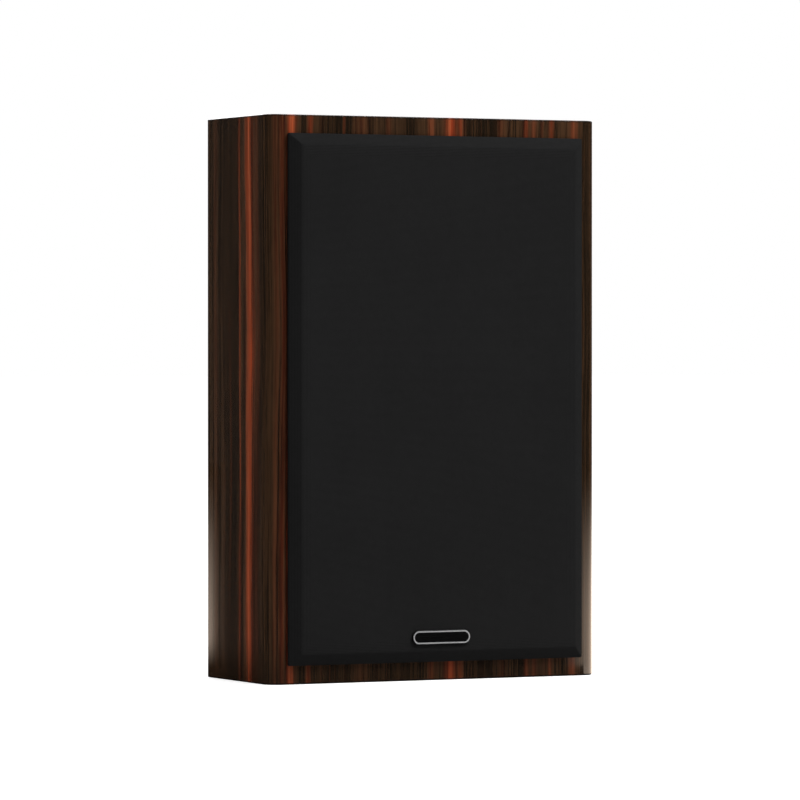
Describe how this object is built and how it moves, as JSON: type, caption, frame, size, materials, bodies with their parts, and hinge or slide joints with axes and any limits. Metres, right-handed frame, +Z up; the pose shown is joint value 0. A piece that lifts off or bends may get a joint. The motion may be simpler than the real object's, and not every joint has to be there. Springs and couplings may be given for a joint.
{
  "type": "bookshelf speaker",
  "caption": "Slim bookshelf speaker: veneered cabinet with rounded front edges, pull-off bevelled cloth grille, cone woofer, dome tweeter, screw terminals and wall keyholes.",
  "frame": {"origin": "middle of the base, at the bottom centre of the whole part's box", "axes": "+X to the right seen from the front, +Y from the front to the back, +Z up"},
  "size_m": [0.205, 0.0894, 0.312],
  "materials": {
    "veneer": "gloss lacquer",
    "rear_paint": "satin paint",
    "raw_board": "matte",
    "foam": "open-cell foam",
    "gasket_foam": "matte",
    "frame_plastic": "matte",
    "grille_fabric": "woven cloth",
    "badge_metal": "satin",
    "black_rubber": "satin",
    "basket_metal": "satin powder coat",
    "cone_paper": "matte",
    "former_film": "satin",
    "copper": "enamelled",
    "spider_cloth": "matte",
    "plated_steel": "satin",
    "ferrite": "matte",
    "black_steel": "satin",
    "strip_fibre": "matte",
    "face_plastic": "satin",
    "dome_silk": "coated",
    "cup_plastic": "satin",
    "gold_plate": "polished",
    "red_plastic": "gloss",
    "black_plastic": "gloss",
    "circuit_board": "satin",
    "nylon": "satin",
    "capacitor_film": "gloss",
    "resistor_ceramic": "matte",
    "wire_sleeve": "satin"
  },
  "bodies": {
    "cabinet": {"front_baffle": "veneer", "left_side_panel": "veneer", "right_side_panel": "veneer", "top_panel": "veneer", "bottom_panel": "veneer", "rear_panel": "rear_paint", "shelf_brace": "raw_board", "damping_pads": "foam", "woofer_gasket": "gasket_foam", "tweeter_gasket": "gasket_foam", "terminal_gasket": "gasket_foam", "grille_cups": "black_rubber", "rear_bumpers": "black_rubber", "woofer_surround": "black_rubber", "woofer_basket": "basket_metal", "woofer_inductor": "copper", "tweeter_inductor": "copper", "woofer_tinsel_leads": "copper", "woofer_spider": "spider_cloth", "woofer_top_plate": "plated_steel", "woofer_yoke": "plated_steel", "tweeter_top_plate": "plated_steel", "tweeter_yoke": "plated_steel", "keyhole_plates": "plated_steel", "woofer_magnet": "ferrite", "tweeter_magnet": "ferrite", "woofer_screws": "black_steel", "tweeter_screws": "black_steel", "terminal_screws": "black_steel", "hanger_screws": "black_steel", "woofer_terminal_strip": "strip_fibre", "tweeter_terminal_strip": "strip_fibre", "tweeter_faceplate": "face_plastic", "tweeter_surround": "dome_silk", "terminal_cup": "cup_plastic", "post_collars": "cup_plastic", "post_studs": "gold_plate", "post_nuts": "gold_plate", "post_solder_tags": "gold_plate", "crossover_board": "circuit_board", "crossover_standoffs": "nylon", "crossover_capacitors": "capacitor_film", "crossover_resistor": "resistor_ceramic", "input_wires": "wire_sleeve", "woofer_wires": "wire_sleeve", "tweeter_wires": "wire_sleeve"},
    "grille": {"grille_frame": "frame_plastic", "grille_cloth": "grille_fabric", "grille_studs": "frame_plastic", "grille_badge": "badge_metal"},
    "woofer_moving_part": {"woofer_cone": "cone_paper", "woofer_dust_cap": "cone_paper", "woofer_coil_former": "former_film", "woofer_voice_coil": "copper"},
    "tweeter_moving_part": {"tweeter_dome": "dome_silk", "tweeter_voice_coil": "copper"},
    "red_clamp": {"red_clamp_washer": "gold_plate"},
    "red_knob": {"red_knob": "red_plastic"},
    "black_clamp": {"black_clamp_washer": "gold_plate"},
    "black_knob": {"black_knob": "black_plastic"}
  },
  "joints": [
    {"name": "grille_pull", "type": "slide", "parent": "cabinet", "child": "grille", "axis": [0, -1, 0], "range_m": [0, 0.04]},
    {"name": "woofer_stroke", "type": "slide", "parent": "cabinet", "child": "woofer_moving_part", "axis": [0, -1, 0], "range_m": [-0.003, 0.003], "stiffness_N_per_m": 900, "deforming": ["woofer_surround", "woofer_spider", "woofer_tinsel_leads"]},
    {"name": "tweeter_stroke", "type": "slide", "parent": "cabinet", "child": "tweeter_moving_part", "axis": [0, -1, 0], "range_m": [-0.0004, 0.0004], "stiffness_N_per_m": 250, "deforming": ["tweeter_surround"]},
    {"name": "red_clamp_slide", "type": "slide", "parent": "cabinet", "child": "red_clamp", "axis": [0, 1, 0], "range_m": [0, 0.006]},
    {"name": "red_knob_turn", "type": "hinge", "parent": "red_clamp", "child": "red_knob", "pos_m": [0.012, 0.0287, 0.228], "axis": [0, 1, 0], "range_deg": [0, 2160]},
    {"name": "black_clamp_slide", "type": "slide", "parent": "cabinet", "child": "black_clamp", "axis": [0, 1, 0], "range_m": [0, 0.006]},
    {"name": "black_knob_turn", "type": "hinge", "parent": "black_clamp", "child": "black_knob", "pos_m": [-0.012, 0.0287, 0.228], "axis": [0, 1, 0], "range_deg": [0, 2160]}
  ],
  "couplings": [
    {"joint": "red_knob_turn", "follows": "red_clamp_slide", "rad_per_m": 6283.2},
    {"joint": "black_knob_turn", "follows": "black_clamp_slide", "rad_per_m": 6283.2}
  ]
}
